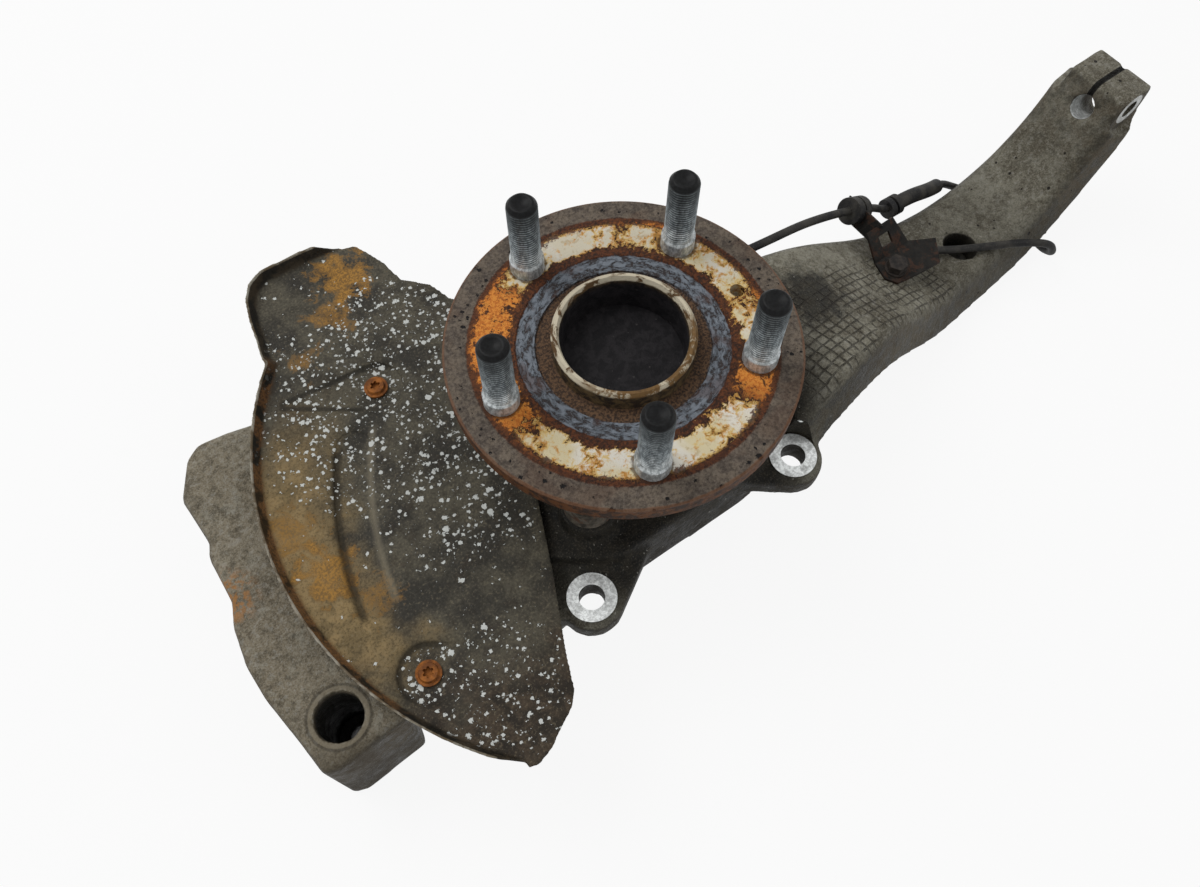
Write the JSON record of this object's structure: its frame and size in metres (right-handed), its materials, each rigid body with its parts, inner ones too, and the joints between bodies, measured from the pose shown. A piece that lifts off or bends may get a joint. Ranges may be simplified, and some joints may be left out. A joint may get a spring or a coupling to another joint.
{
  "type": "steering knuckle",
  "caption": "Front steering knuckle with a swan neck, a wheel hub on a sealed bearing unit, a dust shield and a wheel-speed sensor lead, used and rusty.",
  "frame": {"origin": "centre of the wheel mounting face on the hub's spin axis", "axes": "+Z along the spin axis, outboard; +X up the swan neck, which is up on the car; +Y completes the set"},
  "size_m": [0.5786, 0.2933, 0.1845],
  "materials": {
    "cast_aluminium": "rough sand-cast, oily and dusty",
    "rusty_sheet": "black paint, worn and rusty",
    "rusty_steel": "rusty",
    "bearing_steel": "ground",
    "hub_steel": "machined, worn and rusty",
    "zinc_steel": "zinc plated, dull",
    "zinc_sheet": "zinc plated",
    "encoder_steel": "ground",
    "seal_rubber": "matte",
    "lead_rubber": "matte",
    "sensor_plastic": "moulded",
    "cage_plastic": "moulded"
  },
  "bodies": {
    "knuckle": {"knuckle_casting": "cast_aluminium", "dust_shield": "rusty_sheet", "shield_screws": "rusty_steel", "bearing_outer_ring": "bearing_steel", "outboard_seal": "seal_rubber", "bearing_end_cap": "zinc_sheet", "bearing_bolts": "zinc_steel", "wheel_speed_sensor": "sensor_plastic", "sensor_bolt": "zinc_steel", "sensor_lead": "lead_rubber", "lead_sleeve": "lead_rubber", "lead_grommets": "lead_rubber", "cable_bracket": "rusty_sheet", "bracket_bolt": "rusty_steel"},
    "hub": {"wheel_hub": "hub_steel", "wheel_studs": "zinc_steel", "bearing_inner_ring": "bearing_steel", "encoder_ring": "encoder_steel"},
    "outboard_row": {"outboard_balls": "bearing_steel", "outboard_cage": "cage_plastic"},
    "inboard_row": {"inboard_balls": "bearing_steel", "inboard_cage": "cage_plastic"}
  },
  "joints": [
    {"name": "hub_spin", "type": "hinge", "parent": "knuckle", "child": "hub", "pos_m": [0, 0, 0], "axis": [0, 0, 1], "continuous": true},
    {"name": "outboard_row_roll", "type": "hinge", "parent": "knuckle", "child": "outboard_row", "pos_m": [0, 0, -0.036], "axis": [0, 0, 1], "continuous": true},
    {"name": "inboard_row_roll", "type": "hinge", "parent": "knuckle", "child": "inboard_row", "pos_m": [0, 0, -0.084], "axis": [0, 0, 1], "continuous": true}
  ],
  "couplings": [
    {"joint": "outboard_row_roll", "follows": "hub_spin", "ratio": 0.42},
    {"joint": "inboard_row_roll", "follows": "hub_spin", "ratio": 0.42}
  ]
}
